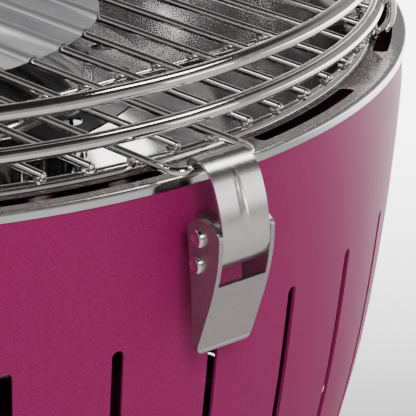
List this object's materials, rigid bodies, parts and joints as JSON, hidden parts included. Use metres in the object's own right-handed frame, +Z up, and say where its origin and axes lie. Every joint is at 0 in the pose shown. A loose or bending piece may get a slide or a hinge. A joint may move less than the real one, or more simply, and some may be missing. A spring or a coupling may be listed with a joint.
{
  "type": "portable tabletop grill",
  "caption": "Round double-walled tabletop charcoal grill with a fan in its base, a railed wire cooking grid and toggle latches that clamp the grid to the bowl.",
  "frame": {"origin": "centre of the ground plane under the feet, on the bowl's axis", "axes": "+Z up the bowl's axis, -Y through the front latch, +Y through the rear latch, +X through the fan's control knob; the grid's wires run along Y"},
  "size_m": [0.3499, 0.387, 0.2337],
  "materials": {
    "powder_coat": "satin powder coat",
    "bright_stainless": "bright drawn stainless sheet",
    "polished_wire": "electropolished stainless wire",
    "brushed_stainless": "brushed stainless strip",
    "satin_stainless": "satin stainless sheet",
    "polished_rivet": "polished stainless",
    "black_plastic": "fine grained black plastic",
    "grey_plastic": "grey plastic",
    "black_rubber": "matte rubber",
    "zinc_steel": "zinc plated steel",
    "cell_sleeve": "plain shrink sleeve"
  },
  "bodies": {
    "grill": {"outer_bowl": "powder_coat", "inner_bowl": "bright_stainless", "grid_foot_ring": "polished_wire", "grid_lower_rail": "polished_wire", "grid_upper_rail": "polished_wire", "grid_rail_posts": "polished_wire", "grid_cross_wires": "polished_wire", "grid_ear_wire": "polished_wire", "grid_support_bars": "polished_wire", "fat_guard": "satin_stainless", "coal_basket": "bright_stainless", "coal_basket_lid": "bright_stainless", "fuel_tray": "bright_stainless", "fan_housing": "grey_plastic", "housing_screws": "zinc_steel", "finger_guard": "zinc_steel", "motor": "zinc_steel", "battery_case": "grey_plastic", "batteries": "cell_sleeve", "battery_contacts": "zinc_steel", "door_rails": "black_plastic", "rail_rivets": "zinc_steel", "knob_bezel": "black_plastic", "fan_control": "grey_plastic", "rubber_feet": "black_rubber", "front_latch_lug": "satin_stainless", "front_lug_rivets": "polished_rivet", "rear_latch_lug": "satin_stainless", "rear_lug_rivets": "polished_rivet"},
    "front_lever": {"front_lever": "satin_stainless", "front_lever_pin": "polished_rivet", "front_hook_pin": "polished_rivet"},
    "front_hook": {"front_hook_strip": "brushed_stainless"},
    "rear_lever": {"rear_lever": "satin_stainless", "rear_lever_pin": "polished_rivet", "rear_hook_pin": "polished_rivet"},
    "rear_hook": {"rear_hook_strip": "brushed_stainless"},
    "fan": {"fan_impeller": "black_plastic"},
    "knob": {"control_knob": "black_plastic"},
    "battery_door": {"battery_door": "black_plastic"}
  },
  "joints": [
    {"name": "front_lever_hinge", "type": "hinge", "parent": "grill", "child": "front_lever", "pos_m": [0, -0.1846, 0.1923], "axis": [1, 0, 0], "range_deg": [-78, 0]},
    {"name": "front_hook_hinge", "type": "hinge", "parent": "front_lever", "child": "front_hook", "pos_m": [0, -0.1836, 0.1843], "axis": [1, 0, 0], "range_deg": [0, 44.5]},
    {"name": "rear_lever_hinge", "type": "hinge", "parent": "grill", "child": "rear_lever", "pos_m": [0, 0.1846, 0.1923], "axis": [-1, 0, 0], "range_deg": [-78, 0]},
    {"name": "rear_hook_hinge", "type": "hinge", "parent": "rear_lever", "child": "rear_hook", "pos_m": [0, 0.1836, 0.1843], "axis": [-1, 0, 0], "range_deg": [0, 44.5]},
    {"name": "fan_spin", "type": "hinge", "parent": "grill", "child": "fan", "pos_m": [0, 0, 0.068], "axis": [0, 0, 1], "continuous": true},
    {"name": "knob_turn", "type": "hinge", "parent": "grill", "child": "knob", "pos_m": [0.15, 0, 0.034], "axis": [1, 0, 0], "range_deg": [0, 270]},
    {"name": "battery_door_slide", "type": "slide", "parent": "grill", "child": "battery_door", "axis": [0, 1, 0], "range_m": [0, 0.03]}
  ],
  "couplings": [
    {"joint": "front_hook_hinge", "follows": "front_lever_hinge", "ratio": -0.57},
    {"joint": "rear_hook_hinge", "follows": "rear_lever_hinge", "ratio": -0.57}
  ]
}
